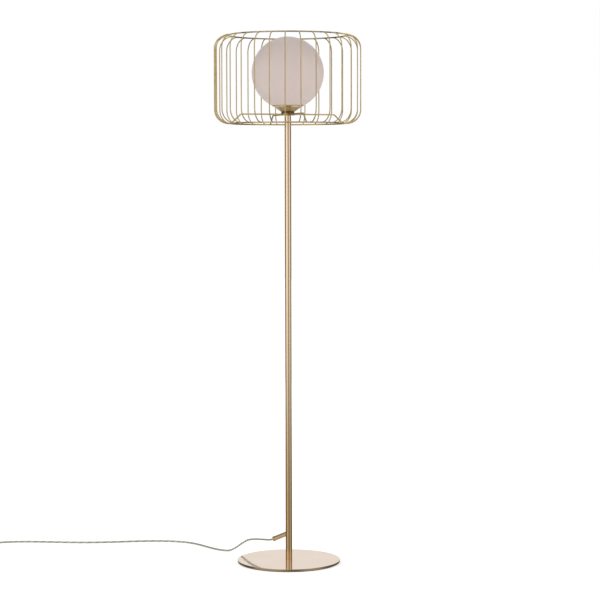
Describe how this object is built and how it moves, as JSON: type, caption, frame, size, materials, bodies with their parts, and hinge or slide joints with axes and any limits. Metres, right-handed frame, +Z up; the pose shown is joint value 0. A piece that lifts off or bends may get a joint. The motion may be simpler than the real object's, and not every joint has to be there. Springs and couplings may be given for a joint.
{
  "type": "floor lamp",
  "caption": "Floor lamp with an opal glass globe inside an open drum of bent brass wire ribs, on a slim round pole with a flat disc base, a low cable outlet and a clear flex.",
  "frame": {"origin": "centre of the underside of the base, on the floor", "axes": "+Z up along the pole, +X to the right in the picture, +Y away from the camera"},
  "size_m": [1.1739, 0.5114, 1.475],
  "materials": {
    "base_mirror": "polished, rose brass tint",
    "brass_plated": "brass plated, satin",
    "zinc_steel": "zinc plated",
    "pad_foam": "matt foam",
    "clear_pvc": "clear, glossy",
    "opal_glass": "satin opal",
    "holder_plastic": "moulded",
    "white_ceramic": "glazed",
    "bare_brass": "bright",
    "bulb_metal": "bright",
    "black_glaze": "gloss",
    "bulb_white": "frosted",
    "switch_plastic": "gloss, smoke grey"
  },
  "bodies": {
    "stand": {"base_pad": "pad_foam", "base_plate": "base_mirror", "base_screw": "zinc_steel", "pole_foot": "zinc_steel", "pole": "brass_plated", "cable_sleeve": "brass_plated", "sleeve_bush": "clear_pvc", "top_insert": "zinc_steel", "nipple": "zinc_steel", "cage_hub": "brass_plated", "cage_arms": "brass_plated", "cage_low_ring": "brass_plated", "cage_top_ring": "brass_plated", "cage_ribs": "brass_plated", "cup_spacer": "holder_plastic", "holder_cup": "brass_plated", "globe_clips": "zinc_steel", "lampholder_cap": "holder_plastic", "lampholder_shell": "holder_plastic", "lampholder_insert": "white_ceramic", "thread_shell": "bare_brass", "centre_contact": "bare_brass", "inner_cable": "clear_pvc", "cord_run": "clear_pvc", "cord_lead": "clear_pvc", "cord_coil": "clear_pvc", "cord_tail": "clear_pvc", "switch_base": "switch_plastic", "switch_cover": "switch_plastic", "switch_spring": "zinc_steel", "switch_contacts": "bare_brass", "switch_screws": "zinc_steel", "plug_body": "switch_plastic", "plug_pins": "bare_brass"},
    "globe": {"globe": "opal_glass"},
    "bulb": {"bulb_cap": "bulb_metal", "bulb_glaze": "black_glaze", "bulb_tip": "bulb_metal", "bulb_glass": "bulb_white"},
    "button": {"switch_button": "switch_plastic"}
  },
  "joints": [
    {"name": "globe_lift", "type": "slide", "parent": "stand", "child": "globe", "axis": [0, 0, 1], "range_m": [0, 0.21]},
    {"name": "bulb_rise", "type": "slide", "parent": "stand", "child": "bulb", "axis": [0, 0, 1], "range_m": [0, 0.025]},
    {"name": "switch_press", "type": "slide", "parent": "stand", "child": "button", "axis": [0, 0, -1], "range_m": [0, 0.002], "stiffness_N_per_m": 400, "springref_m": -0.003, "deforming": ["switch_spring"]}
  ]
}
